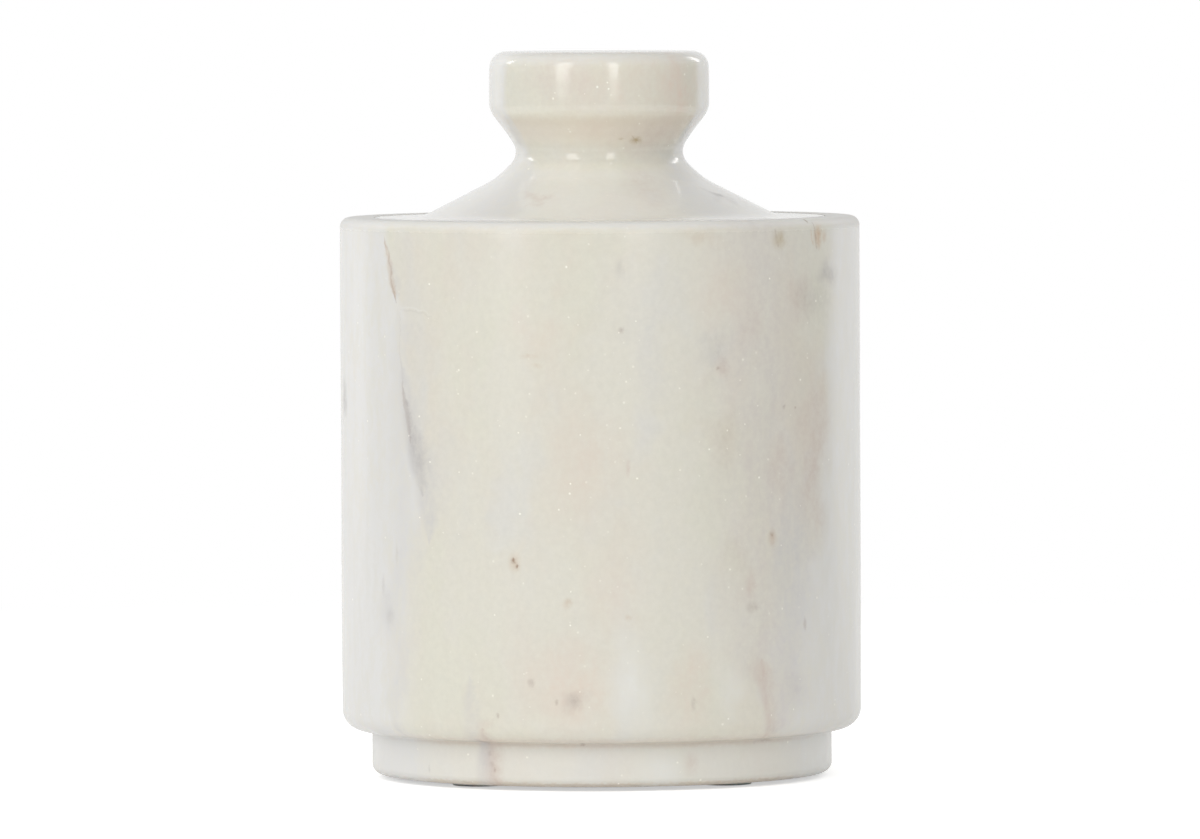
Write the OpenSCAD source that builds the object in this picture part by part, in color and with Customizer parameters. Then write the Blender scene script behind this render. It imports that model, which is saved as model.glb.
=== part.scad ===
// Salt cellar turned from white marble: a footed jar, and a lid that drops into
// a seat in the jar's mouth and lifts straight off by its flared knob.
// The origin is on the axis, at the surface that the cellar stands on. +Z is up.

/* [Jar] */
// Diameter of the jar's upright side
jar_d = 100; // [80:0.5:140]
// Height of the upright side, from the step above the foot to the rim
side_h = 98.5; // [60:0.5:150]
// How far the foot is set in from the side
foot_step = 5.7; // [3:0.1:9]
// Height of the foot
foot_h = 8.5; // [5:0.1:15]
// Rounding of the foot's lower edge
foot_edge_r = 2; // [0.5:0.1:3]
// Rounding in the corner between the foot and the step
step_root_r = 0.9; // [0.3:0.1:2]
// Rounding of the side's lower edge, over the step
side_edge_r = 4; // [1:0.1:5]
// Rounding of the rim's outer edge
rim_edge_r = 2.1; // [0.5:0.1:4]

/* [Mouth] */
// Width of the rim's flat ring, outside the lid
rim_w = 6.5; // [4:0.1:12]
// Depth of the lid's seat below the rim
seat_depth = 4.6; // [3:0.1:8]
// Width of the ledge that carries the lid
ledge_w = 3.5; // [2:0.1:6]
// Softening of the turned edges around the mouth
mouth_edge_r = 0.3; // [0.2:0.05:1]

/* [Inside] */
// Thickness of the stone under the salt
floor_t = 12; // [6:0.5:20]
// Bend between the inside wall and the floor
inside_bend_r = 10; // [3:0.5:20]

/* [Lid] */
// Gap all round between the lid's brim and its seat
lid_gap = 0.25; // [0.1:0.05:1]
// How far the brim's top lies below the rim
brim_drop = 0.15; // [0:0.05:1]
// Width of the brim's flat, outside the flare
brim_flat_w = 8.8; // [3:0.1:14]
// Height of the flare, from the brim to the neck's crease
flare_h = 12.05; // [8:0.05:20]
// Diameter where the two slopes of the neck would meet in a sharp crease
crease_d = 30.3; // [22:0.1:40]
// Height of the knob's underside, from the crease to its upright band
underside_h = 8.5; // [5:0.1:14]
// Height of the knob's upright band
band_h = 11.3; // [7:0.1:18]
// Diameter of the knob
knob_d = 42.4; // [34:0.1:56]

/* [Lid roundings] */
// Bend where the flare runs out into the brim
brim_bend_r = 9; // [2:0.5:14]
// Bend half way up the flare
flare_bend_r = 12; // [2:0.5:20]
// Bend in the neck's crease
crease_bend_r = 3.4; // [1:0.1:4]
// Hollow of the knob's underside
hollow_bend_r = 8; // [2:0.5:20]
// Bend under the knob's upright band
band_bend_r = 4.6; // [1:0.1:6]
// Rounding of the knob's top edge
knob_edge_r = 2.8; // [0.5:0.1:4]
// Rounding of the brim's lower edge
brim_edge_r = 0.9; // [0.3:0.1:1.5]

/* [Foot pads] */
// How many pads the cellar stands on
pad_count = 4; // [3:1:8]
// Diameter of a pad
pad_d = 10; // [6:0.5:14]
// Thickness of a pad
pad_t = 0.8; // [0.5:0.1:3]
// Distance of a pad's middle from the foot's edge
pad_inset = 11; // [8:0.5:20]
// Rounding of a pad's lower edge
pad_edge_r = 0.3; // [0.1:0.05:0.4]

/* [Hidden] */
$fn = 144;

// Largest turn between two facets of a bend, in degrees
bend_step = 6;

// Heights, from the surface that the cellar stands on
foot_z = pad_t;
step_z = foot_z + foot_h;
rim_z = step_z + side_h;
seat_z = rim_z - seat_depth;
floor_z = foot_z + floor_t;
brim_z = rim_z - brim_drop;
crease_z = brim_z + flare_h;
band_z = crease_z + underside_h;
top_z = band_z + band_h;

// Distances from the axis
jar_r = jar_d / 2;
foot_r = jar_r - foot_step;
seat_r = jar_r - rim_w;
inside_r = seat_r - ledge_w;
brim_r = seat_r - lid_gap;
flare_r = brim_r - brim_flat_w;
crease_r = crease_d / 2;
knob_r = knob_d / 2;
pad_ring_r = foot_r - pad_inset;

// Where the flare bends, as shares of the way from the crease out to its foot, and down to it
flare_shares = [0.25, 0.39];
// Where the knob's underside bends, as shares of the way from the crease out to the band, and up to it
hollow_shares = [0.41, 0.45];

// The colours of the stone and of the pads
stone_colour = "#dedccf";
pad_colour = "#c9c9c4";

// A corner of an outline is [distance from the axis, height, bend radius].

// The corner's place, without its bend
function spot(corner) = [corner[0], corner[1]];

// The straight line from corner i to corner j, and its direction
function way(outline, i, j) = spot(outline[j]) - spot(outline[i]);
function heading(outline, i, j) = way(outline, i, j) / norm(way(outline, i, j));

// Half the angle between the two sides that meet at corner i
function half_angle(outline, i) =
    acos(heading(outline, i, i - 1) * heading(outline, i, i + 1)) / 2;

// How much of each side the bend at corner i would take
function reach(outline, i) =
    outline[i][2] == 0 ? 0 : outline[i][2] / tan(half_angle(outline, i));

// The share that two neighbouring bends may keep, so that both fit on the side between them
function fit_share(outline, i, j) =
    let (wanted = reach(outline, i) + reach(outline, j))
    wanted == 0 ? 1 : min(1, norm(way(outline, i, j)) / wanted);

// The points of the bend at corner i
function bend(outline, i) =
    outline[i][2] == 0 ? [spot(outline[i])] :
    let (
        half = half_angle(outline, i),
        r = outline[i][2] * min(fit_share(outline, i, i - 1), fit_share(outline, i, i + 1)),
        back = heading(outline, i, i - 1),
        on = heading(outline, i, i + 1),
        middle = spot(outline[i]) + (back + on) / norm(back + on) * r / sin(half),
        start = spot(outline[i]) + back * r / tan(half) - middle,
        turn = (180 - 2 * half) * (cross(on, back) > 0 ? 1 : -1),
        steps = ceil(abs(turn) / bend_step)
    )
    [for (k = [0 : steps]) middle + turned(start, turn * k / steps)];

// A vector turned by an angle
function turned(v, angle) = [
    v[0] * cos(angle) - v[1] * sin(angle),
    v[0] * sin(angle) + v[1] * cos(angle)
];

// An outline with every corner bent, as points for a polygon
function bent(outline) = [for (i = [0 : len(outline) - 1]) each bend(outline, i)];

// A solid turned about the axis
module turned_solid(outline) {
    rotate_extrude()
        polygon(bent(outline));
}

// The jar: foot, side, rim, lid seat and the hollow for the salt, all one stone
module jar() {
    color(stone_colour)
        turned_solid([
            [0, foot_z, 0],
            [foot_r, foot_z, foot_edge_r],
            [foot_r, step_z, step_root_r],
            [jar_r, step_z, side_edge_r],
            [jar_r, rim_z, rim_edge_r],
            [seat_r, rim_z, mouth_edge_r],
            [seat_r, seat_z, 0],
            [inside_r, seat_z, mouth_edge_r],
            [inside_r, floor_z, inside_bend_r],
            [0, floor_z, 0]
        ]);
}

// The lid: flat brim, flare, neck and knob, all one stone
module lid() {
    flare_bend = [
        crease_r + (flare_r - crease_r) * flare_shares[0],
        crease_z - flare_h * flare_shares[1],
        flare_bend_r
    ];
    hollow_bend = [
        crease_r + (knob_r - crease_r) * hollow_shares[0],
        crease_z + underside_h * hollow_shares[1],
        hollow_bend_r
    ];
    color(stone_colour)
        turned_solid([
            [0, seat_z, 0],
            [brim_r, seat_z, brim_edge_r],
            [brim_r, brim_z, mouth_edge_r],
            [flare_r, brim_z, brim_bend_r],
            flare_bend,
            [crease_r, crease_z, crease_bend_r],
            hollow_bend,
            [knob_r, band_z, band_bend_r],
            [knob_r, top_z, knob_edge_r],
            [0, top_z, 0]
        ]);
}

// One round pad, stuck to the foot's underside
module pad() {
    turned_solid([
        [0, 0, 0],
        [pad_d / 2, 0, pad_edge_r],
        [pad_d / 2, pad_t, 0],
        [0, pad_t, 0]
    ]);
}

// The ring of pads, the first one half a step round from the front
module foot_pads() {
    pad_step = 360 / pad_count;
    color(pad_colour)
        for (i = [0 : pad_count - 1])
            rotate([0, 0, pad_step * (i + 0.5)])
                translate([pad_ring_r, 0, 0])
                    pad();
}

jar();
lid();
foot_pads();
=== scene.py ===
import math

import bmesh
import bpy
import numpy as np
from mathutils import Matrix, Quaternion, Vector, noise


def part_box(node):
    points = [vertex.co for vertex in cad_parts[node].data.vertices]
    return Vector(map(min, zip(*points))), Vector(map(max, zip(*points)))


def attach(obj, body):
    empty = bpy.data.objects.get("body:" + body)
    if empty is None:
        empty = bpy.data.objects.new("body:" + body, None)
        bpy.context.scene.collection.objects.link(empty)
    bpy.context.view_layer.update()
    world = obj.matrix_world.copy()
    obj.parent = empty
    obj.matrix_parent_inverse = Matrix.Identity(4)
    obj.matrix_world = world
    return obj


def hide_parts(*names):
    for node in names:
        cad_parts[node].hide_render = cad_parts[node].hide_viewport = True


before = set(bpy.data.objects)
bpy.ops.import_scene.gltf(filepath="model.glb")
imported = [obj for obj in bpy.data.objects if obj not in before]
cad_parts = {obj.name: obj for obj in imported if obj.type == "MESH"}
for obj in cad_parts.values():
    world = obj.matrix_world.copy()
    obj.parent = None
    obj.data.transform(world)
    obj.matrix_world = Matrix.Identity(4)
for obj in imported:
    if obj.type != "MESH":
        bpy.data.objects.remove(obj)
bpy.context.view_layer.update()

# Everything is in metres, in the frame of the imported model: +Z up, the viewer on the -Y side. Angles
# are in degrees, from the front of the cellar, growing to the viewer's right. The marks drawn on the
# stone are in millimetres.
MM = 0.001

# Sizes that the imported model's boxes don't give, as in its source. The gap around the brim, the
# brim's drop and the knob's crown follow the photograph instead.
FOOT_STEP = 5.7 * MM
FOOT_HEIGHT = 8.5 * MM
SEAT_GAP = 0.08 * MM
LEDGE_WIDTH = 3.5 * MM
FLOOR_THICKNESS = 12 * MM
BRIM_DROP = 0.08 * MM
BRIM_FLAT = 8.8 * MM
FLARE_HEIGHT = 12.05 * MM
CREASE_RADIUS = 15.15 * MM
UNDERSIDE_HEIGHT = 8.5 * MM
KNOB_RADIUS = 21.2 * MM
KNOB_CROWN = 4.2 * MM
KNOB_CROWN_LEAN = 0.3 * MM
FLARE_SHARES = (0.25, 0.39)
HOLLOW_SHARES = (0.41, 0.45)

# Bend radii of the jar's corners
FOOT_EDGE = 2 * MM
STEP_ROOT = 0.9 * MM
SIDE_EDGE = 4 * MM
RIM_EDGE = 1.9 * MM
MOUTH_EDGE = 0.12 * MM
INSIDE_BEND = 10 * MM

# Bend radii of the lid's corners
BRIM_EDGE = 0.9 * MM
BRIM_BEND = 9 * MM
FLARE_BEND = 12 * MM
CREASE_BEND = 3.4 * MM
HOLLOW_BEND = 8 * MM
BAND_BEND = 4.6 * MM
KNOB_CROWN_BEND = 30 * MM
KNOB_EDGE = 3.1 * MM

# How finely the stones are meshed
COLUMNS = 360
BEND_STEP = 9
LONGEST_ROW = 1.7 * MM
HELD_ROW = 0.1 * MM
SAME_PLACE = 0.0001 * MM

# How uneven the polished sides are: waves and smaller ripples, and how many go to a metre
WAVE_DEPTH = 0.05 * MM
WAVE_LIFT = 0.6
WAVE_COUNT = 38
RIPPLE_COUNT = 95
RIPPLE_SHARE = 0.4
RIPPLE_PLACE = (3, 5, 7)


def rgb(code):
    """A colour written as on screen, as the linear numbers that a shader takes."""
    parts = [int(code[i : i + 2], 16) / 255 for i in (1, 3, 5)]
    linear = [c / 12.92 if c <= 0.04045 else ((c + 0.055) / 1.055) ** 2.4 for c in parts]
    return (*linear, 1.0)


# Outlines

def direction(start, end):
    way = end - start
    return way / np.linalg.norm(way)


def swung(arm, angle):
    """An arm of a flat drawing, turned by an angle in radians."""
    c, s = math.cos(angle), math.sin(angle)
    return np.array((arm[0] * c - arm[1] * s, arm[0] * s + arm[1] * c))


def bend_points(before, corner, after, bend):
    """The points of the arc that rounds a corner."""
    back, on = direction(corner, before), direction(corner, after)
    half = math.acos(np.clip(back @ on, -1, 1)) / 2
    middle = corner + (back + on) / np.linalg.norm(back + on) * bend / math.sin(half)
    start = corner + back * bend / math.tan(half) - middle
    sign = 1 if on[0] * back[1] - on[1] * back[0] > 0 else -1
    turn = (math.pi - 2 * half) * sign
    steps = max(2, math.ceil(abs(math.degrees(turn)) / BEND_STEP))
    return [middle + swung(start, turn * k / steps) for k in range(steps + 1)]


def bent(corners):
    """The points of an outline of (radius, height, bend radius) corners, with each corner rounded."""
    spots = [np.array(corner[:2], float) for corner in corners]
    points = []
    for i, (_, _, bend) in enumerate(corners):
        if bend == 0:
            points.append(spots[i])
        else:
            points += bend_points(spots[i - 1], spots[i], spots[i + 1], bend)
    return points


def held_shares(a, b, length):
    """Where the narrow rows of a level stretch end: one at each end that isn't on the axis."""
    held = HELD_ROW / length
    return [share for end, share in ((a, held), (b, 1 - held)) if end[0] > 0]


def spaced(points):
    """The same outline, with its long straight stretches cut into rows. The last row at each end of
    a level stretch is narrow, so that the bend's shading doesn't spread over it."""
    rows = [points[0]]
    for a, b in zip(points[:-1], points[1:]):
        length = np.linalg.norm(b - a)
        if length < SAME_PLACE:
            continue
        cuts = math.ceil(length / LONGEST_ROW)
        shares = [k / cuts for k in range(1, cuts + 1)]
        if length > LONGEST_ROW and a[1] == b[1]:
            shares = sorted(shares + held_shares(a, b, length))
        rows += [a + (b - a) * share for share in shares]
    return np.array(rows)


def jar_outline():
    low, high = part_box("jar")
    side = min(high.x, high.y)
    foot, rim = low.z, high.z
    step = foot + FOOT_HEIGHT
    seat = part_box("lid")[0].z
    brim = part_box("lid")[1]
    seat_radius = min(brim.x, brim.y) + SEAT_GAP
    inside = seat_radius - LEDGE_WIDTH
    floor = foot + FLOOR_THICKNESS
    return [
        (0, foot, 0),
        (side - FOOT_STEP, foot, FOOT_EDGE),
        (side - FOOT_STEP, step, STEP_ROOT),
        (side, step, SIDE_EDGE),
        (side, rim, RIM_EDGE),
        (seat_radius, rim, MOUTH_EDGE),
        (seat_radius, seat, 0),
        (inside, seat, MOUTH_EDGE),
        (inside, floor, INSIDE_BEND),
        (0, floor, 0),
    ]


def lid_outline():
    low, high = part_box("lid")
    brim_radius = min(high.x, high.y)
    seat, top = low.z, high.z
    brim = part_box("jar")[1].z - BRIM_DROP
    flare = brim_radius - BRIM_FLAT
    crease = brim + FLARE_HEIGHT
    band = crease + UNDERSIDE_HEIGHT
    return [
        (0, seat, 0),
        (brim_radius, seat, BRIM_EDGE),
        (brim_radius, brim, MOUTH_EDGE),
        (flare, brim, BRIM_BEND),
        (
            CREASE_RADIUS + (flare - CREASE_RADIUS) * FLARE_SHARES[0],
            crease - FLARE_HEIGHT * FLARE_SHARES[1],
            FLARE_BEND,
        ),
        (CREASE_RADIUS, crease, CREASE_BEND),
        (
            CREASE_RADIUS + (KNOB_RADIUS - CREASE_RADIUS) * HOLLOW_SHARES[0],
            crease + UNDERSIDE_HEIGHT * HOLLOW_SHARES[1],
            HOLLOW_BEND,
        ),
        (KNOB_RADIUS, band, BAND_BEND),
        (KNOB_RADIUS, top - KNOB_CROWN, KNOB_CROWN_BEND),
        (KNOB_RADIUS - KNOB_CROWN_LEAN, top, KNOB_EDGE),
        (0, top, 0),
    ]


# Turned meshes

def unevenness(place):
    """How far a point of a hand-polished side lies under the perfect turned surface, in metres."""
    wave = noise.noise(place * WAVE_COUNT)
    ripple = noise.noise(place * RIPPLE_COUNT + Vector(RIPPLE_PLACE))
    return WAVE_DEPTH * max(0.0, WAVE_LIFT + wave + RIPPLE_SHARE * ripple)


def outward(rows):
    """Which way an outline faces at each of its points, as (away from the axis, up)."""
    run = np.gradient(rows, axis=0)
    run /= np.linalg.norm(run, axis=1)[:, None]
    return np.stack([run[:, 1], -run[:, 0]], 1)


def swept(pairs):
    """(Away from the axis, up) pairs turned about the Z axis, as rings of columns."""
    turns = np.radians(np.arange(COLUMNS) * 360 / COLUMNS)
    away, up = pairs[:, 0][:, None], pairs[:, 1][:, None]
    return np.stack([away * np.sin(turns), -away * np.cos(turns), up + 0 * turns], -1)


def uneven_rings(rows):
    """The rings between the two ends of an outline. Level faces are ground flat, and an upright one
    has the most unevenness."""
    facing = outward(rows)[1:-1]
    rings = swept(rows[1:-1])
    upright = 1 - np.abs(facing[:, 1])
    depth = np.array([[unevenness(Vector(place)) for place in ring] for ring in rings])
    return rings - swept(facing) * (depth * upright[:, None])[..., None]


def turned_faces(ring_count):
    """The faces between the rings, and the fans that close the two ends."""
    last = 1 + ring_count * COLUMNS
    top = last - COLUMNS
    neighbours = [(column, (column + 1) % COLUMNS) for column in range(COLUMNS)]
    faces = [
        (ring + j, ring + k, ring + COLUMNS + k, ring + COLUMNS + j)
        for ring in range(1, top, COLUMNS)
        for j, k in neighbours
    ]
    for j, k in neighbours:
        faces.append((0, 1 + k, 1 + j))
        faces.append((last, top + j, top + k))
    return faces


def turned(name, corners):
    """A closed mesh turned about the Z axis, with the slight unevenness of stone polished by hand."""
    rows = spaced(bent(corners))
    rings = uneven_rings(rows)
    vertices = [(0, 0, rows[0][1]), *rings.reshape(-1, 3), (0, 0, rows[-1][1])]
    mesh = bpy.data.meshes.new(name)
    mesh.from_pydata(vertices, [], turned_faces(len(rings)))
    mesh.validate()
    mesh.shade_smooth()
    piece = bpy.data.objects.new(name, mesh)
    bpy.context.collection.objects.link(piece)
    return piece


# Shader graphs

class Graph:
    """Adds nodes to a node tree. A value given to one is a number, a colour or another node's output."""

    def __init__(self, tree):
        self.tree = tree

    def add(self, kind, inputs=None, **settings):
        made = self.tree.nodes.new(kind)
        for key, value in settings.items():
            setattr(made, key, value)
        for key, value in (inputs or {}).items():
            self.put(made.inputs[key], value)
        return made

    def put(self, socket, value):
        if isinstance(value, bpy.types.NodeSocket):
            self.tree.links.new(value, socket)
        else:
            socket.default_value = value

    def math(self, operation, *values):
        return self.add("ShaderNodeMath", dict(enumerate(values)), operation=operation).outputs[0]

    def vector(self, operation, *values):
        made = self.add("ShaderNodeVectorMath", dict(enumerate(values)), operation=operation)
        scalar = operation in ("LENGTH", "DOT_PRODUCT")
        return made.outputs["Value" if scalar else "Vector"]

    def scaled(self, vector, factor):
        made = self.add("ShaderNodeVectorMath", {0: vector, "Scale": factor}, operation="SCALE")
        return made.outputs["Vector"]

    def joined(self, x, y):
        return self.add("ShaderNodeCombineXYZ", {0: x, 1: y}).outputs[0]

    def parts(self, vector):
        return tuple(self.add("ShaderNodeSeparateXYZ", {0: vector}).outputs)

    def grey(self, value):
        return self.add("ShaderNodeCombineColor", {0: value, 1: value, 2: value}).outputs[0]

    def mapped(self, value, low, high, to_low=0.0, to_high=1.0, smooth=True):
        """A value from low to high, mapped to a new range. The node's own clamp stays off, because a
        long graph of clamps needs more memory than a shader has."""
        made = self.add(
            "ShaderNodeMapRange",
            {0: value, 1: low, 2: high, 3: to_low, 4: to_high},
            interpolation_type="SMOOTHSTEP" if smooth else "LINEAR",
            clamp=False,
        )
        return made.outputs[0]

    def mixed(self, factor, a, b, blend="MIX"):
        made = self.add("ShaderNodeMix", data_type="RGBA", blend_type=blend)
        for index, value in ((0, factor), (6, a), (7, b)):
            self.put(made.inputs[index], value)
        return made.outputs[2]

    def noise(self, vector, size, detail, roughness):
        """Noise of a given grain size in metres, from 0 to 1, and its three-part colour."""
        made = self.add(
            "ShaderNodeTexNoise",
            {"Vector": vector, "Scale": 1 / size, "Detail": detail, "Roughness": roughness},
        )
        return made.outputs["Fac"], made.outputs["Color"]

    def cells(self, vector, size):
        return self.add("ShaderNodeTexVoronoi", {"Vector": vector, "Scale": 1 / size})


def curve(g, value, points):
    """A smooth curve through (value, result) points."""
    made = g.add("ShaderNodeFloatCurve", {"Value": value})
    mapping = made.mapping
    mapping.use_clip = False
    mapping.extend = "HORIZONTAL"
    line = mapping.curves[0]
    points = sorted(points)
    line.points[0].location = points[0]
    line.points[1].location = points[-1]
    for point in points[1:-1]:
        line.points.new(*point)
    for point in line.points:
        point.handle_type = "AUTO_CLAMPED"
    mapping.update()
    return made.outputs[0]


def new_material(name):
    """An empty material, and the graph of its nodes."""
    material = bpy.data.materials.new(name)
    material.use_nodes = True
    material.node_tree.nodes.clear()
    return material, Graph(material.node_tree)


# Marble

# The sizes of the stone's grains, of the wander of its marks, of its clouds and streaks, of its
# bright crystals and of the marks of turning
GRAIN = 1.2 * MM
DRIFT = 10 * MM
PEACH_CLOUD = 14 * MM
GREY_CLOUD = 18 * MM
CLOUD_DRIFT = 8 * MM
STREAK = 2.6 * MM
CRYSTAL = 1.9 * MM
TURNING_MARK = 0.35 * MM

# How far a mark's outline wanders, in millimetres for a full step of the noise
FINE_WANDER = 1.2
LOOSE_WANDER = 10.0

# A spot with a half width above this, in millimetres, has a looser outline
LOOSE_FROM = 2.6

# Clouds and streaks are drawn out upwards
CLOUD_STRETCH = (1.0, 1.0, 0.4)
STREAK_STRETCH = (1.0, 1.0, 0.3)

# Where in the noise the clouds lie, as chosen
PEACH_PLACE = (0.4, 0.1, 0.2)
GREY_PLACE = (0.9, 0.3, 0.6)
NOISE_MIDDLE = (0.5, 0.5, 0.5)

# Veins and spots begin, and are whole, at these shares of the radius. None runs in to the axis, where
# they would all meet.
AXIS_SHARES = (0.35, 0.75)

# An open side of a vein is whole up to the first of these angles, and gone at the second
OPEN_SIDE_ENDS = (105, 150)

# The detail and roughness of each kind of noise
GRAIN_NOISE = (3.0, 0.65)
CLOUD_NOISE = (3.0, 0.6)
SOFT_NOISE = (2.0, 0.6)

# A range is where in its noise something begins and ends, and how strong it is at those two. These
# are of the clouds, of how light the grain is, and of how strongly marks show by grain and streak.
GREENISH_RANGE = (0.52, 0.36, 0.0, 0.4)
PEACH_RANGE = (0.44, 0.72, 0.0, 0.35)
GREY_RANGE = (0.5, 0.74, 0.0, 0.65)
LIGHT_RANGE = (0.25, 0.75, 0.972, 1.028)
BY_GRAIN_RANGE = (0.3, 0.7, 1.2, 0.75)
BY_STREAK_RANGE = (0.3, 0.7, 0.65, 1.3)

# A vein begins at the first of these half widths, in millimetres, and is as strong as it gets at
# the second
VEIN_ENDS = (0.02, 0.2)

# A glint is painted on a crystal where its chance is over its rarity, and surely from this chance on.
# It is painted out to its reach, and fully in its core, both as shares of a crystal.
GLINT_RARITY_RANGE = (0.3, 0.7, 0.4, 0.7)
GLINT_SURE = 0.95
GLINT_REACH_RANGE = (0.35, 0.65, 0.1, 0.2)
GLINT_CORE = 0.03

# Where in the grain's noise the polish goes from its best to its worst, and by how much
SATIN_RANGE = (0.3, 0.7)
SATIN_UNDER = 0.02
SATIN_OVER = 0.03

# How much the grain stands out where the stone is upright, and how deep the bumps are
GRAIN_RELIEF = 0.25
BUMP_STRENGTH = 0.3
BUMP_DEPTH = 0.04 * MM

# How much rougher the stone is where it is only turned, and between which heights it gets rougher
# where it is lapped
TURNED_ROUGHNESS = 0.3
LAPPED_HEIGHTS = (105.2 * MM, 106.8 * MM)


class Surface:
    """The places on a turned stone, of a side radius in millimetres, at which its marks are drawn."""

    def __init__(self, g, radius):
        coordinates = g.add("ShaderNodeTexCoord").outputs
        self.radius = radius
        self.here = coordinates["Object"]
        _, _, self.facing_up = g.parts(coordinates["Normal"])
        x, y, self.z = g.parts(self.here)
        self.height = g.math("DIVIDE", self.z, MM)
        self.turn = g.math("ARCTAN2", x, g.math("MULTIPLY", y, -1.0))
        self.off_axis = g.vector("LENGTH", g.joined(x, y))
        self.grain, wander = g.noise(self.here, GRAIN, *GRAIN_NOISE)
        _, drift = g.noise(self.here, DRIFT, *SOFT_NOISE)
        self.drift = g.vector("SUBTRACT", drift, NOISE_MIDDLE)

        # The place on the turned side, in millimetres round it and up it, with a wandering outline
        side = g.joined(g.math("MULTIPLY", self.turn, float(radius)), self.height)
        wander = g.vector("SUBTRACT", wander, NOISE_MIDDLE)
        self.fine = g.vector("ADD", side, g.scaled(wander, FINE_WANDER))
        self.loose = g.vector("ADD", self.fine, g.scaled(self.drift, LOOSE_WANDER))
        self.fine_across, self.fine_along, _ = g.parts(self.fine)
        self.loose_across, self.loose_along, _ = g.parts(self.loose)


def add_clouds(g, surface):
    """The colour of the clouds all through the stone, and how grey they are."""
    tall = g.vector("MULTIPLY", surface.here, CLOUD_STRETCH)
    tall = g.vector("ADD", tall, g.scaled(surface.drift, CLOUD_DRIFT))
    peach, _ = g.noise(g.vector("ADD", tall, PEACH_PLACE), PEACH_CLOUD, *CLOUD_NOISE)
    grey, _ = g.noise(g.vector("ADD", tall, GREY_PLACE), GREY_CLOUD, *CLOUD_NOISE)
    colour = g.mixed(g.mapped(grey, *GREENISH_RANGE), CREAM, GREENISH)
    colour = g.mixed(g.mapped(peach, *PEACH_RANGE), colour, PEACH)
    colour = g.mixed(g.mapped(grey, *GREY_RANGE), colour, PALE_GREY)
    return colour, grey


def add_grain_and_painted_shade(g, surface, colour, painted_shade):
    """Grains a little lighter or darker than each other, with light and shade painted in by height."""
    light = g.mapped(surface.grain, *LIGHT_RANGE, smooth=False)
    light = g.math("MULTIPLY", light, curve(g, surface.height, painted_shade))
    return g.mixed(1.0, colour, g.grey(light), "MULTIPLY")


def mark_strength(g, surface):
    """How strongly veins and spots show at a place, by its grain and its streaks. They are gone at the
    axis."""
    streaks, _ = g.noise(g.vector("MULTIPLY", surface.here, STREAK_STRETCH), STREAK, *CLOUD_NOISE)
    by_grain = g.mapped(surface.grain, *BY_GRAIN_RANGE)
    by_streak = g.mapped(streaks, *BY_STREAK_RANGE)
    start, whole = (share * surface.radius * MM for share in AXIS_SHARES)
    off_axis = g.mapped(surface.off_axis, start, whole)
    return g.math("MULTIPLY", g.math("MULTIPLY", by_grain, by_streak), off_axis)


def vein_amount(g, across, along, strength, points, fades, in_front=None):
    """How much of a vein lies at a place. It runs through (along, across, half width) points, and
    is gone where its width is nothing. The fades are how many half widths it takes to fade out on
    its two sides. A side without one is open: it runs on, and fades out as in_front does."""
    middle = curve(g, along, [(p[0], p[1]) for p in points])
    width = curve(g, along, [(p[0], p[2]) for p in points])
    off = g.math("DIVIDE", g.math("SUBTRACT", across, middle), width)
    low = g.mapped(off, -fades[0], 0.0) if fades[0] else in_front
    high = g.mapped(off, fades[1], 0.0) if fades[1] else in_front
    there = g.mapped(width, *VEIN_ENDS, 0.0, strength)
    return g.math("MULTIPLY", g.math("MULTIPLY", low, high), there)


def spot_amount(g, place, radius, strength, angle, height, half_width, half_height):
    """How much of a soft oval spot lies at a place."""
    size = (1 / half_width, 1 / half_height, 0)
    offset = (-math.radians(angle) * radius / half_width, -height / half_height, 0)
    away = g.vector("LENGTH", g.vector("MULTIPLY_ADD", place, size, offset))
    return g.mapped(away, 1.0, 0.0, 0.0, strength)


def add_cracks(g, surface, colour, cracks):
    for tint, strength, fades, points in cracks:
        line = [(math.radians(angle) * surface.radius, up, half) for angle, up, half in points]
        amount = vein_amount(g, surface.fine_along, surface.fine_across, strength, line, fades)
        colour = g.mixed(amount, colour, tint)
    return colour


def add_veins(g, surface, colour, veins, showing):
    whole, gone = (math.radians(angle) for angle in OPEN_SIDE_ENDS)
    in_front = g.mapped(g.math("ABSOLUTE", surface.turn), gone, whole)
    fine = (surface.fine_across, surface.fine_along)
    loose = (surface.loose_across, surface.loose_along)
    for tint, strength, loosely, fades, points in veins:
        across, along = loose if loosely else fine
        line = [(up, math.radians(angle) * surface.radius, half) for angle, up, half in points]
        amount = vein_amount(g, across, along, strength, line, fades, in_front)
        colour = g.mixed(g.math("MULTIPLY", amount, showing), colour, tint)
    return colour


def add_spots(g, surface, colour, spots, showing):
    """Spots of one colour are drawn together, so that they don't add up where they meet."""
    for tint in dict.fromkeys(spot[0] for spot in spots):
        total = None
        for _, strength, angle, height, half_width, half_height in (s for s in spots if s[0] == tint):
            place = surface.loose if half_width > LOOSE_FROM else surface.fine
            size = (half_width, half_height)
            amount = spot_amount(g, place, surface.radius, strength, angle, height, *size)
            total = g.math("MAXIMUM", total, amount) if total else amount
        colour = g.mixed(g.math("MULTIPLY", total, showing), colour, tint)
    return colour


def add_painted_glints(g, surface, colour, grey):
    """Painted glints: near-white dots in the colour where a crystal facet would sparkle, fewer of them
    in the grey clouds.
    """
    facet = g.cells(surface.here, CRYSTAL)
    rarity = g.mapped(grey, *GLINT_RARITY_RANGE)
    chance = g.mapped(facet.outputs["Color"], rarity, GLINT_SURE)
    reach = g.mapped(surface.grain, *GLINT_REACH_RANGE)
    painted_glint = g.mapped(facet.outputs["Distance"], reach, GLINT_CORE)
    painted_glint = g.math("MULTIPLY", painted_glint, chance)
    return g.mixed(painted_glint, colour, PAINTED_GLINT)


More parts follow.
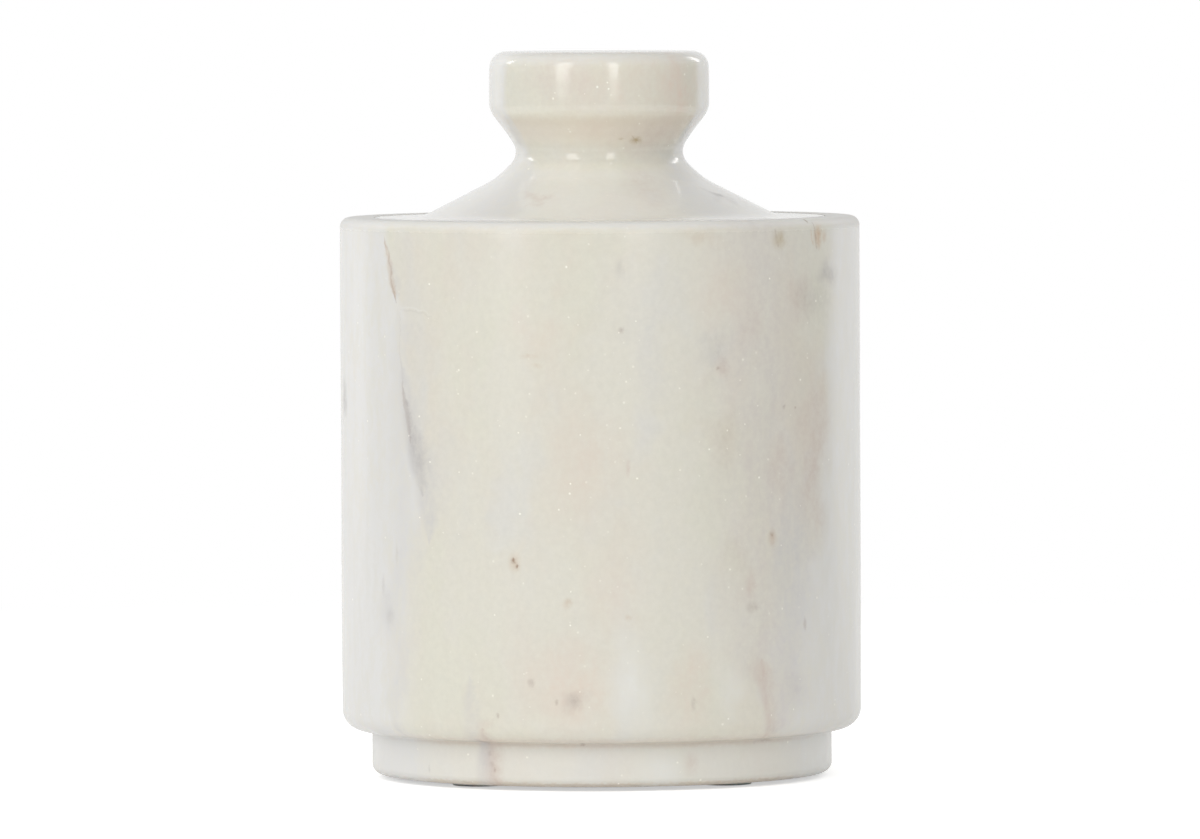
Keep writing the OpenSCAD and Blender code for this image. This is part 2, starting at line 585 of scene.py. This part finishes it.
def add_relief(g, surface, dull):
    """The grain stands out a little on every face but the level ones, which are ground flat. Turning
    marks show where the stone isn't polished."""
    level = g.math("ABSOLUTE", surface.facing_up)
    upright = g.math("MULTIPLY", g.math("SUBTRACT", 1.0, level), GRAIN_RELIEF)
    grain = g.math("MULTIPLY", g.math("SUBTRACT", surface.grain, 0.5), upright)
    marks, _ = g.noise(g.joined(surface.off_axis, surface.z), TURNING_MARK, *SOFT_NOISE)
    relief = g.math("ADD", grain, g.math("MULTIPLY", marks, dull))
    bump = {"Strength": BUMP_STRENGTH, "Distance": BUMP_DEPTH, "Height": relief}
    return g.add("ShaderNodeBump", bump).outputs[0]


def add_roughness(g, surface, polish, lapped, dull):
    satin = g.mapped(surface.grain, *SATIN_RANGE, polish - SATIN_UNDER, polish + SATIN_OVER)
    rough = g.math("ADD", satin, g.math("MULTIPLY", dull, TURNED_ROUGHNESS))
    return g.math("ADD", rough, g.mapped(surface.z, *LAPPED_HEIGHTS, 0.0, lapped))


def marble(name, radius, marks, polish, lapped, dullness):
    """Satin-polished white marble, on a turned stone with a side of that radius, in millimetres.
    Marks are its painted shade, veins, cracks and spots, which are drawn over its clouds. The painted
    shade is light and shade painted into its colour by height. Polish is how rough the polished stone
    is, and lapped is how much rougher it is from the jar's rim up. Dullness gives how much of the stone
    at a place is only turned."""
    painted_shade, veins, cracks, spots = marks
    material, g = new_material(name)
    surface = Surface(g, radius)
    colour, grey = add_clouds(g, surface)
    colour = add_grain_and_painted_shade(g, surface, colour, painted_shade)
    showing = mark_strength(g, surface)
    colour = add_cracks(g, surface, colour, cracks)
    colour = add_veins(g, surface, colour, veins, showing)
    colour = add_spots(g, surface, colour, spots, showing)
    colour = add_painted_glints(g, surface, colour, grey)
    dull = dullness(g, surface)
    bumps = add_relief(g, surface, dull)
    shader = g.add(
        "ShaderNodeBsdfPrincipled",
        {
            "Base Color": colour,
            "Roughness": add_roughness(g, surface, polish, lapped, dull),
            "IOR": 1.6,
            "Normal": bumps,
            "Subsurface Weight": 0.3,
            "Subsurface Radius": (1.0, 0.88, 0.75),
            "Subsurface Scale": 2.0 * MM,
        },
    )
    g.add("ShaderNodeOutputMaterial", {"Surface": shader.outputs[0]})
    return material


def ring_at(height, half_width):
    """The points of a crack that goes all round the stone."""
    return [(-179, height, half_width), (179, height, half_width)]


# The colours of the stone
CREAM = rgb("#e2dfd3")
PEACH = rgb("#dfd5c7")
PALE_GREY = rgb("#dddcd8")
GREENISH = rgb("#e0dfce")
# The next colour is a painted glint, the sparkle of crystal facets drawn into the stone's colour
PAINTED_GLINT = rgb("#fcfaf0")
NEUTRAL = rgb("#dfdedb")
BLUSH = rgb("#dfd0c2")
ROSE = rgb("#cebeb3")
TAN = rgb("#c6ad93")
BROWN = rgb("#8e7059")
RUST = rgb("#bb8646")
OLIVE = rgb("#ae9869")
UMBER = rgb("#a5948a")
ASH = rgb("#cfcdca")
SLATE = rgb("#aaa5a2")
VEIL = rgb("#cbc3c1")
MILK = rgb("#e6e6e1")

# Light and shade painted into each stone's colour by height, as (height, share of its colour). The
# jar is painted lighter than its side on its foot, on its side's lower bend, which faces the floor,
# and on its rim's top.
JAR_PAINTED_SHADE = [
    (0, 1.01), (8.8, 1.01), (9.3, 1.14), (9.8, 1.12), (10.5, 1.02), (11.5, 0.975), (13.5, 0.94),
    (107.4, 0.94), (107.8, 1.01), (108, 1.01),
]
# The lid is painted lighter on its brim and under its knob, and darker in its crease and on the knob's
# band
LID_PAINTED_SHADE = [
    (103, 1.06), (107.8, 1.06), (109, 1.02), (114, 1.02), (117, 0.995), (119, 0.955),
    (120.8, 0.955), (122.5, 1.035), (127.4, 1.04), (129, 0.95), (134.5, 0.945), (136.5, 0.96),
    (138.6, 0.99), (140, 0.99),
]

# A vein is (colour, strength, loose or not, fades, points), and a point is (angle, height, half
# width). It ends where its half width falls under nothing.
JAR_VEINS = [
    # Neutral at the left edge, out from the long vein: partly the stone's own tone, partly painted
    # reflection of the white wall at the grazing edge
    (NEUTRAL, 0.85, False, (None, 1.5), [
        (-56.6, 109, 2), (-55.4, 104.5, 1.6), (-53.4, 101.3, 0.7), (-52.6, 98.5, 0.6),
        (-52.4, 95.8, 0.8), (-51.2, 92.6, 1.6), (-51, 89.8, 3), (-51.6, 83.5, 4), (-50.4, 78, 3.4),
        (-48.8, 72.5, 1.6), (-46.6, 66.5, 1.5), (-45, 60, 2.4), (-48, 50, 5), (-53, 40, 7),
        (-56, 25, 8), (-57, 0, 8),
    ]),
    # Neutral near the right edge: partly the stone's own tone, partly painted reflection of the white
    # wall at the grazing edge
    (NEUTRAL, 0.65, True, (2.4, None), [
        (66, 108, 3), (63, 80, 3), (62, 50, 3), (50, 32, 5), (46, 16, 5), (60, 5, 4), (60, 0, 4),
    ]),
    # Painted shade on the right of the side, where it turns away from the lamps, and greyer stone beside
    # the long vein, both wide and very soft
    (VEIL, 0.3, True, (1.4, 1.4), [(36, 110, 11), (38, 60, 12), (40, 25, 9), (42, 8, -0.3)]),
    (ASH, 0.3, True, (1.4, 1.4), [
        (-49, 92, -0.3), (-49.5, 85, 4), (-49, 50, 4), (-51, 20, 4), (-51, 10, -0.3),
    ]),
    # The long vein, down to the grey streak
    (ASH, 0.5, False, (0.2, 1), [
        (-54.4, 102.5, -0.3), (-53, 99, 2.5), (-52, 95.5, 3.5), (-50.8, 92, -0.3),
    ]),
    (TAN, 0.48, False, (1, 1.2), [
        (-55, 105.5, -0.2), (-54.6, 103.5, 0.6), (-53.4, 101, 1.0), (-52.8, 97.5, 1.2),
        (-51.9, 95, 1.0), (-50.4, 92.2, -0.2),
    ]),
    (BROWN, 0.26, False, (1, 1), [
        (-55, 105.2, -0.1), (-54.5, 103.3, 0.3), (-53.1, 101.8, 0.3), (-53.2, 100.2, 0.4),
        (-52.4, 98.6, 0.5), (-52.6, 96.6, 0.5), (-51.7, 94.5, 0.45), (-50.8, 92.6, 0.3),
        (-50.2, 91.8, -0.1),
    ]),
    (UMBER, 0.16, False, (1, 1), [
        (-49.6, 91.5, -0.1), (-49.3, 88.5, 0.2), (-49.6, 83.5, 0.2), (-48.8, 79, 0.3),
        (-48.5, 75, 0.4), (-47.4, 70, -0.1),
    ]),
    (ASH, 0.65, False, (0.5, 1), [
        (-49.2, 82, -0.5), (-48.4, 77, 3.5), (-47.2, 71, 5.5), (-45.4, 66, 6), (-43.4, 60, 6.5),
        (-41.9, 54, 6), (-40.4, 46, -0.5),
    ]),
    (UMBER, 0.3, False, (0.6, 1.2), [
        (-48.8, 78.5, -0.1), (-48.3, 74, 0.9), (-47.2, 70, 1.2), (-46.2, 65, -0.1),
    ]),
    (SLATE, 0.31, False, (1.3, 1.6), [
        (-48.2, 76, -0.1), (-46.8, 70.5, 1.5), (-45.4, 66, 2.4), (-44, 62, 2.6), (-43, 58.5, 1.6),
        (-42.4, 55, -0.3),
    ]),
    # Rose streak at the lower right
    (ROSE, 0.42, False, (0.6, 1.3), [
        (37.2, 25.4, -0.8), (37.4, 23, 2.6), (37.8, 20, 3.2), (38.8, 15, 2.6), (39.6, 11, 1.8),
        (39.8, 8.6, -0.6),
    ]),
    # Rust and olive at the right of the rim
    (RUST, 0.3, False, (1, 1), [
        (53.2, 106.6, -0.1), (53.5, 105, 0.4), (53.9, 103.4, 0.4), (54.2, 102.2, -0.1),
    ]),
    (BROWN, 0.36, False, (1, 1.3), [
        (54.2, 107.8, -0.1), (54.6, 106, 0.4), (55.3, 103.2, 0.4), (55.6, 101.2, -0.1),
    ]),
    (BROWN, 0.22, False, (1, 1), [
        (41.4, 106.6, -0.1), (41.7, 105.4, 0.35), (42.2, 103.4, 0.4), (42.6, 102, -0.1),
    ]),
    # Pale rose vein across the step and the foot
    (ROSE, 0.55, False, (1, 1), [
        (-26.8, 13, -1), (-27, 11, 2.2), (-27.4, 9.5, 3.2), (-27.8, 5, 3.4), (-27.8, -2, 3.2),
    ]),
    (VEIL, 0.4, False, (1, 1), [(-29.6, 10.5, -1), (-29.8, 9, 2.4), (-30, 5, 3), (-30.2, -2, 3)]),
    # Painted reflection at the foot's right edge, where it is paler, and greyer stone beside the rose
    # vein
    (MILK, 0.6, False, (2.4, None), [(66, -2, 4), (66, 7.5, 4), (68, 9, -1)]),
    (ASH, 0.4, False, (1, 1), [(-30, 24, -0.8), (-29.6, 15, 3), (-30.6, 8, 2.4), (-31.4, -2, 2)]),
    # On the sides and the back, in the same manner
    (TAN, 0.35, False, (0.8, 1.2), [
        (117, 103, -0.2), (119, 95, 0.8), (123, 86, 1.0), (125, 76, -0.2),
    ]),
    (ASH, 0.6, False, (0.2, 1), [(162, 76, -0.3), (160, 62, 4), (164, 46, 5), (168, 28, -0.3)]),
    (UMBER, 0.35, False, (0.4, 1.2), [
        (162, 72, -0.1), (160.6, 62, 0.9), (164, 48, 1.2), (167, 34, -0.1),
    ]),
    (ROSE, 0.5, False, (0.3, 1.3), [
        (-128, 60, -0.3), (-131, 50, 2.4), (-135, 38, 3), (-137, 22, -0.3),
    ]),
    (SLATE, 0.35, False, (0.4, 1.2), [
        (-104, 98, -0.1), (-107, 90, 1.2), (-106, 80, 1.4), (-109, 70, -0.2),
    ]),
]

# A crack runs round the side, as a whole ring or along its points. It is (colour, strength, fades,
# points).
JAR_CRACKS = [
    # Painted reflection along the rim's rounded top, neutral stone on the foot, painted warm shade in
    # the step, and painted shade along the foot's lower edge
    (NEUTRAL, 0.7, (1, 60), ring_at(107.3, 1.2)),
    (NEUTRAL, 0.4, (60, 1), ring_at(8, 1)),
    (ROSE, 0.5, (1, 1), ring_at(9.3, 1.6)),
    (TAN, 0.4, (1, 1), ring_at(1.2, 0.7)),
    # The crack beside the long vein: its lit edge, and the shade under it
    (MILK, 0.3, (1, 1), [
        (-49.9, 92.2, -0.05), (-48.3, 91.3, 0.3), (-46.3, 91.5, 0.3), (-44, 91.2, 0.25),
        (-41.2, 90.6, 0.2), (-39, 90, -0.05),
    ]),
    (SLATE, 0.13, (1, 1), [
        (-49.9, 91.8, -0.05), (-48.3, 90.8, 0.35), (-46.3, 90.9, 0.3), (-44, 90.7, 0.3),
        (-41.2, 90.1, 0.25), (-38, 89.4, -0.05),
    ]),
]

# A spot is (colour, strength, angle, height, half width, half height)
JAR_SPOTS = [
    # Soft patches, and the rust and olive at the right of the rim
    (BLUSH, 0.3, -4, 62, 12, 17),
    (BLUSH, 0.25, -14, 86, 10, 9),
    (BLUSH, 0.5, -6, 20, 13, 13),
    (BLUSH, 0.25, 3, 36, 9, 14),
    (BLUSH, 0.4, 19.3, 19.5, 6, 12),
    (TAN, 0.2, 21.5, 105, 6, 3),
    (BLUSH, 0.25, 27, 95, 10, 10),
    (RUST, 0.42, 56, 104.6, 2.2, 3.4),
    (RUST, 0.2, 58.6, 104.4, 1.6, 2.0),
    (OLIVE, 0.42, 42.9, 104, 2.6, 2.6),
    (OLIVE, 0.1, 28, 68, 6, 9),
    (OLIVE, 0.06, 30, 44, 6, 9),
    (ROSE, 0.5, 54, 62, 7, 24),
    (ROSE, 0.35, 50, 94, 6, 9),
    (ROSE, 0.35, 42, 60, 4.5, 9),
    (ROSE, 0.2, 35, 87, 6, 9),
    (ROSE, 0.45, 37.8, 23.6, 4, 5),
    (MILK, 0.45, 6.5, 20, 6, 14),
    (MILK, 0.3, 29, 19, 5, 9),
    (ASH, 0.2, 9.5, 84, 5, 20),
    (ASH, 0.4, -55, 33, 5, 9),
    (ASH, 0.6, 47, 42, 7, 24),
    (SLATE, 0.42, 60, 98, 5, 4),
    (SLATE, 0.18, 54, 93, 7, 9),
    (SLATE, 0.8, -79, 74, 4.5, 5),
    (SLATE, 0.2, 4.4, 99, 1.6, 2.8),
    # Small marks, with the patches round some of them
    (UMBER, 0.4, 4.6, 87.5, 1.0, 1.0),
    (TAN, 0.42, -19, 43.6, 1.9, 2.7),
    (BROWN, 0.75, -19.4, 44, 0.55, 0.8),
    (BROWN, 0.7, -18.6, 43, 0.5, 0.6),
    (TAN, 0.4, -7.3, 36, 1.3, 1.5),
    (UMBER, 0.4, -15.4, 21.1, 1.1, 1.2),
    (BROWN, 0.3, -9.8, 17.4, 0.6, 0.9),
    (SLATE, 0.2, -6.1, 17.6, 2.0, 1.9),
    (UMBER, 0.22, -6.4, 17.4, 3.6, 3),
    (UMBER, 0.12, 46, 21, 7, 9),
    (UMBER, 0.35, -23.1, 14.7, 0.6, 0.6),
    (ROSE, 0.35, -26, 13.6, 3.4, 2.4),
    (BROWN, 0.5, -4.5, 9.1, 0.9, 0.5),
    (UMBER, 0.18, -28.2, 5, 1.2, 1.0),
    (BROWN, 0.25, -27.4, 4, 0.5, 0.5),
    (UMBER, 0.18, -28.8, 7, 0.8, 1.0),
    (SLATE, 0.3, -48, 3.6, 0.5, 1.2),
    (ROSE, 0.4, 22.4, 5, 2.5, 3.5),
    (MILK, 0.55, 14, 4.5, 7, 6),
    (UMBER, 0.35, 20.3, 16.8, 0.8, 2.1),
    (UMBER, 0.32, 35, 34.7, 2.3, 1.6),
    (ROSE, 0.4, 33.6, 38, 3.4, 6),
    (UMBER, 0.3, 50.7, 30.9, 0.7, 1.8),
    (TAN, 0.4, 40.4, 47.5, 1.6, 2.6),
    (BROWN, 0.3, 40.2, 48.3, 0.6, 1.0),
    (ROSE, 0.4, 5.9, 61.5, 0.8, 2.6),
    (ROSE, 0.5, 27.2, 80.2, 2.2, 2.8),
    (SLATE, 0.16, 26, 82, 5, 7),
    (BROWN, 0.5, 26.4, 80, 0.5, 0.5),
    (UMBER, 0.45, 44.2, 72.4, 0.8, 0.7),
    (BROWN, 0.4, 47.7, 72.1, 0.45, 0.45),
    (BROWN, 0.6, 52.7, 107.4, 0.45, 0.45),
    (TAN, 0.22, -16, 82.6, 2.4, 0.7),
    (TAN, 0.22, -13.8, 80.8, 1.6, 0.8),
    (TAN, 0.4, 5.8, 33.3, 1.0, 0.9),
    (SLATE, 0.2, -50.9, 44.6, 0.6, 3),
    (SLATE, 0.2, -56, 38.5, 0.8, 3),
    (SLATE, 0.2, -53.4, 32.7, 2, 2.4),
    (UMBER, 0.4, 44, 9, 2.4, 0.6),
    (UMBER, 0.3, -28.6, 9.4, 2.4, 0.6),
    # On the sides and the back, in the same manner
    (BLUSH, 0.5, 112, 42, 10, 18),
    (BLUSH, 0.4, 148, 88, 12, 12),
    (BLUSH, 0.5, -112, 68, 9, 16),
    (BLUSH, 0.5, -158, 30, 12, 16),
    (ROSE, 0.35, 178, 94, 8, 9),
    (ROSE, 0.3, 100, 86, 5, 10),
    (UMBER, 0.4, 131, 53, 1.6, 1.4),
    (BROWN, 0.5, -121, 31, 0.6, 0.7),
    (BROWN, 0.5, -168, 71, 0.5, 0.6),
    (TAN, 0.4, -167.4, 70.4, 1.6, 2.0),
    (UMBER, 0.35, 142, 20, 1.8, 2.2),
    (SLATE, 0.3, -150, 96, 5, 3),
]

# Painted reflection at the lid's two sides, a neutral colour where it mirrors the white wall, which
# fades out at its back, and an olive mark under the knob
LID_VEINS = [
    (NEUTRAL, 0.75, False, (None, 1.8), [
        (-61, 141, 1.2), (-61, 121, 1.2), (-52, 117, 3), (-42, 108, 4), (-42, 100, 4),
    ]),
    (NEUTRAL, 0.75, False, (1.8, None), [
        (66, 141, 1.2), (66, 121, 1.2), (54, 117, 3), (44, 108, 4), (44, 100, 4),
    ]),
    (OLIVE, 0.3, False, (1, 1), [
        (19, 124, -0.1), (22, 123.2, 0.4), (24.6, 122.6, 0.6), (26.5, 121.6, -0.1),
    ]),
]

# Neutral stone below the crease, painted warm shade on the knob's underside with a darker ring of
# painted shade under its band, and painted reflection along the knob's top edge
LID_CRACKS = [
    (NEUTRAL, 0.35, (60, 1), ring_at(116, 2)),
    (BLUSH, 0.4, (1, 1), ring_at(124.2, 3.6)),
    (TAN, 0.2, (1, 1), ring_at(126.4, 2)),
    (NEUTRAL, 0.7, (1.2, 60), ring_at(138.8, 2)),
]

LID_SPOTS = [
    # On the front
    (BLUSH, 0.3, -14, 133, 14, 9),
    (BLUSH, 0.4, 16, 133, 12, 11),
    (BLUSH, 0.62, 44, 132.5, 11, 10),
    (VEIL, 0.16, -24, 133, 12, 9),
    (BLUSH, 0.25, 0, 124, 12, 5),
    (ROSE, 0.3, 36, 124, 11, 5),
    (ROSE, 0.25, 24, 114.5, 6, 5),
    (ROSE, 0.45, -27, 111.2, 4.2, 1.4),
    (SLATE, 0.6, 60, 111.2, 4, 1.8),
    (OLIVE, 0.3, 13.5, 122.9, 0.9, 0.5),
    (OLIVE, 0.5, 24.4, 122.6, 2.5, 1.1),
    (BROWN, 0.1, 25, 122.6, 0.8, 0.4),
    # On the back
    (BLUSH, 0.5, 140, 131, 12, 9),
    (ROSE, 0.3, -130, 122, 9, 6),
    (SLATE, 0.25, 170, 113, 4, 2),
    (BROWN, 0.35, -150, 134, 0.5, 0.5),
]


# What is only turned, not polished: the jar inside this radius and over this height, the jar's
# underside up to this height, and the lid's underside up to this one
HOLLOW_RADIUS = 43.8 * MM
HOLLOW_FROM = 10 * MM
JAR_UNDERSIDE = 0.95 * MM
LID_UNDERSIDE = 103.4 * MM


def jar_dullness(g, surface):
    """The hollow, the seat and the foot's underside are only turned."""
    inside = g.math("LESS_THAN", surface.off_axis, HOLLOW_RADIUS)
    over_floor = g.math("GREATER_THAN", surface.z, HOLLOW_FROM)
    under = g.math("LESS_THAN", surface.z, JAR_UNDERSIDE)
    return g.math("MAXIMUM", g.math("MULTIPLY", inside, over_floor), under)


def lid_dullness(g, surface):
    """The lid's underside is only turned."""
    return g.math("LESS_THAN", surface.z, LID_UNDERSIDE)


def dress(name, node, body, corners, material):
    """Turns a stone, gives it its material and puts it in its node's place."""
    piece = turned(name, corners)
    piece.data.materials.append(material)
    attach(piece, body)
    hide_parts(node)
    return piece


# The radius of each stone's side in millimetres, and how rough its polish is
JAR_SIDE = 50
JAR_POLISH = 0.2
RIM_LAPPED = 0.3
LID_SIDE = 21
LID_POLISH = 0.13

JAR_MARKS = (JAR_PAINTED_SHADE, JAR_VEINS, JAR_CRACKS, JAR_SPOTS)
jar_marble = marble("jar_marble", JAR_SIDE, JAR_MARKS, JAR_POLISH, RIM_LAPPED, jar_dullness)
jar_stone = dress("jar_stone", "jar", "jar", jar_outline(), jar_marble)

LID_MARKS = (LID_PAINTED_SHADE, LID_VEINS, LID_CRACKS, LID_SPOTS)
lid_marble = marble("lid_marble", LID_SIDE, LID_MARKS, LID_POLISH, 0.0, lid_dullness)
lid_stone = dress("lid_stone", "lid", "lid", lid_outline(), lid_marble)


# Foot pads

PAD_GREY = rgb("#cfcfca")
PAD_WHITE = rgb("#dfdfdb")
PAD_GRAIN = 0.4 * MM
PAD_NOISE = (3.0, 0.6)
PAD_ROUGHNESS = (0.45, 0.65)
PAD_BUMP_DEPTH = 0.03 * MM


def pad_rubber():
    """Milky soft rubber."""
    material, g = new_material("pad_rubber")
    here = g.add("ShaderNodeTexCoord").outputs["Object"]
    tone, _ = g.noise(here, PAD_GRAIN, *PAD_NOISE)
    bump = {"Strength": BUMP_STRENGTH, "Distance": PAD_BUMP_DEPTH, "Height": tone}
    shader = g.add(
        "ShaderNodeBsdfPrincipled",
        {
            "Base Color": g.mixed(tone, PAD_GREY, PAD_WHITE),
            "Roughness": g.mapped(tone, 0.0, 1.0, *PAD_ROUGHNESS),
            "Normal": g.add("ShaderNodeBump", bump).outputs[0],
            "Subsurface Weight": 0.3,
            "Subsurface Scale": 0.8 * MM,
        },
    )
    g.add("ShaderNodeOutputMaterial", {"Surface": shader.outputs[0]})
    return material


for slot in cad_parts["foot_pads"].material_slots:
    slot.material = pad_rubber()


# Studio

CAMERA_DISTANCE = 2.251
CAMERA_TILT = 2.35
CAMERA_ROLL = -0.25
CAMERA_TARGET_X = -0.1 * MM
CAMERA_TARGET_HEIGHT = 68.65 * MM
NEAREST_SEEN = 0.05
FARTHEST_SEEN = 100
FRAME_WIDTH = 230.9 * MM
SENSOR = 36.0


def add_camera():
    tilt = math.radians(CAMERA_TILT)
    data = bpy.data.cameras.new("camera")
    data.sensor_width = SENSOR
    data.lens = SENSOR * CAMERA_DISTANCE / FRAME_WIDTH
    data.clip_start = NEAREST_SEEN
    data.clip_end = FARTHEST_SEEN
    camera = bpy.data.objects.new("camera", data)
    camera.location = (
        CAMERA_TARGET_X,
        -CAMERA_DISTANCE * math.cos(tilt),
        CAMERA_TARGET_HEIGHT + CAMERA_DISTANCE * math.sin(tilt),
    )
    pitch = Quaternion((1, 0, 0), math.radians(90) - tilt)
    roll = Quaternion((0, 0, 1), math.radians(CAMERA_ROLL))
    camera.rotation_euler = (pitch @ roll).to_euler()
    bpy.context.collection.objects.link(camera)
    bpy.context.scene.camera = camera


# The lamps stand this far from a point on the cellar's axis, at this height
LAMP_DISTANCE = 1.4
LAMP_TARGET_HEIGHT = 80 * MM


def add_softbox(name, angle, elevation, width, height, radiance):
    """A rectangular lamp that faces the cellar. Its power follows from its size and radiance."""
    data = bpy.data.lights.new(name, "AREA")
    data.shape = "RECTANGLE"
    data.size = width
    data.size_y = height
    data.energy = radiance * math.pi * width * height
    lamp = bpy.data.objects.new(name, data)
    a, e = math.radians(angle), math.radians(elevation)
    toward_lamp = Vector((math.sin(a) * math.cos(e), -math.cos(a) * math.cos(e), math.sin(e)))
    lamp.location = Vector((0, 0, LAMP_TARGET_HEIGHT)) + toward_lamp * LAMP_DISTANCE
    lamp.rotation_euler = toward_lamp.to_track_quat("Z", "Y").to_euler()
    bpy.context.collection.objects.link(lamp)


# What the stone mirrors: how bright the wall behind it is over the dim room, by degrees off straight
# behind. Overhead the wall fades out, between directions with these upward parts.
MIRRORED_ROOM = 0.25
MIRRORED_WALL = [
    (0, 0.68), (20, 0.7), (30, 0.76), (38, 0.84), (46, 0.96), (51, 0.9), (55, 0.6), (60, 0.34),
    (67, 0.2), (76, 0.08), (100, 0.0),
]
WALL_WHOLE = 0.35
WALL_GONE = 0.8

# What lights the stone: how bright the room's darker and lighter sides are, which way the lighter
# one lies, and how much both are raised overhead, in directions with this upward part, and low down
ROOM_LEVELS = (0.36, 0.76)
LIGHTER_SIDE = (-0.75, -0.6, 0.0)
OVERHEAD_GAIN = 1.25
LOW_GAIN = 1.36
OVERHEAD_FROM = 0.7


def lighting_level(g, way, z):
    """How bright the studio is in a direction, for the stone that it lights."""
    toward = g.vector("DOT_PRODUCT", way, LIGHTER_SIDE)
    level = g.mapped(toward, -1.0, 1.0, *ROOM_LEVELS, smooth=False)
    return g.math("MULTIPLY", level, g.mapped(z, OVERHEAD_FROM, 0.0, OVERHEAD_GAIN, LOW_GAIN))


def mirrored_level(g, x, y, z):
    """How bright the studio is in a direction, as the stone mirrors it."""
    off_back = g.math("ABSOLUTE", g.math("ARCTAN2", x, y))
    wall = curve(g, g.math("MULTIPLY", off_back, 180 / math.pi), MIRRORED_WALL)
    wall = g.math("MULTIPLY", wall, g.mapped(z, WALL_GONE, WALL_WHOLE))
    return g.math("ADD", wall, MIRRORED_ROOM)


def add_world():
    """White to the camera. Around the cellar, a pale studio that is lighter to the left, and that
    mirrors as a white wall behind the cellar and a dim room in front of it."""
    world = bpy.data.worlds.new("studio")
    world.use_nodes = True
    world.node_tree.nodes.clear()
    g = Graph(world.node_tree)
    way = g.add("ShaderNodeTexCoord").outputs["Generated"]
    x, y, z = g.parts(way)
    mirrored = mirrored_level(g, x, y, z)
    lighting = lighting_level(g, way, z)
    rays = g.add("ShaderNodeLightPath").outputs
    level = g.add("ShaderNodeMix", {0: rays["Is Glossy Ray"], 2: lighting, 3: mirrored}).outputs[0]
    seen = g.math("MAXIMUM", rays["Is Camera Ray"], rays["Is Transmission Ray"])
    level = g.add("ShaderNodeMix", {0: seen, 2: level, 3: 1.0}).outputs[0]
    shader = g.add("ShaderNodeBackground", {"Color": (1, 1, 1, 1), "Strength": level})
    g.add("ShaderNodeOutputWorld", {"Surface": shader.outputs[0]})
    bpy.context.scene.world = world


FLOOR_RADIUS = 0.7
FLOOR_SEGMENTS = 128
FLOOR_PAPER = (0.92, 0.92, 0.92, 1)

# How much is added to the paper's own light, for the camera and for mirroring surfaces
FLOOR_LIFT = 0.52
FLOOR_MIRRORED_LIFT = 0.2

# The distances from the axis at which the floor begins to turn pure white, and is so
FLOOR_FADE = (0.2, 0.6)


def floor_disc():
    mesh = bpy.data.meshes.new("floor")
    shape = bmesh.new()
    bmesh.ops.create_circle(shape, cap_ends=True, segments=FLOOR_SEGMENTS, radius=FLOOR_RADIUS)
    shape.to_mesh(mesh)
    shape.free()
    floor = bpy.data.objects.new("floor", mesh)
    bpy.context.collection.objects.link(floor)
    return floor


def add_floor():
    """A round white table top. Away from the cellar it turns pure white to the camera and to
    mirroring surfaces, as the world round it is to the camera, so that it has no visible edge."""
    floor = floor_disc()
    material, g = new_material("floor")
    here = g.add("ShaderNodeTexCoord").outputs["Object"]
    rays = g.add("ShaderNodeLightPath").outputs
    seen = g.math("MAXIMUM", rays["Is Camera Ray"], rays["Is Transmission Ray"])
    seen = g.math("MAXIMUM", seen, rays["Is Glossy Ray"])
    paper = g.add("ShaderNodeBsdfDiffuse", {"Color": FLOOR_PAPER})
    mirrored = g.math("MULTIPLY", rays["Is Glossy Ray"], FLOOR_LIFT - FLOOR_MIRRORED_LIFT)
    lifted = g.math("SUBTRACT", g.math("MULTIPLY", seen, FLOOR_LIFT), mirrored)
    lift = g.add("ShaderNodeEmission", {"Strength": lifted})
    lit = g.add("ShaderNodeAddShader", {0: paper.outputs[0], 1: lift.outputs[0]})
    white = g.add("ShaderNodeEmission", {"Strength": 1.0})
    far = g.math("MULTIPLY", g.mapped(g.vector("LENGTH", here), *FLOOR_FADE), seen)
    out = g.add("ShaderNodeMixShader", {0: far, 1: lit.outputs[0], 2: white.outputs[0]})
    g.add("ShaderNodeOutputMaterial", {"Surface": out.outputs[0]})
    floor.data.materials.append(material)


add_camera()
add_world()
add_floor()
add_softbox("softbox_left", angle=-38.8, elevation=21.5, width=0.36, height=1.0, radiance=3.0)
add_softbox("softbox_right", angle=15.5, elevation=21.5, width=0.22, height=1.0, radiance=3.7)
add_softbox("softbox_back_left", angle=-115, elevation=25, width=0.16, height=0.3, radiance=5.0)
add_softbox("softbox_back_right", angle=137, elevation=25, width=0.2, height=0.4, radiance=3.0)

bpy.context.scene.view_settings.view_transform = "Standard"
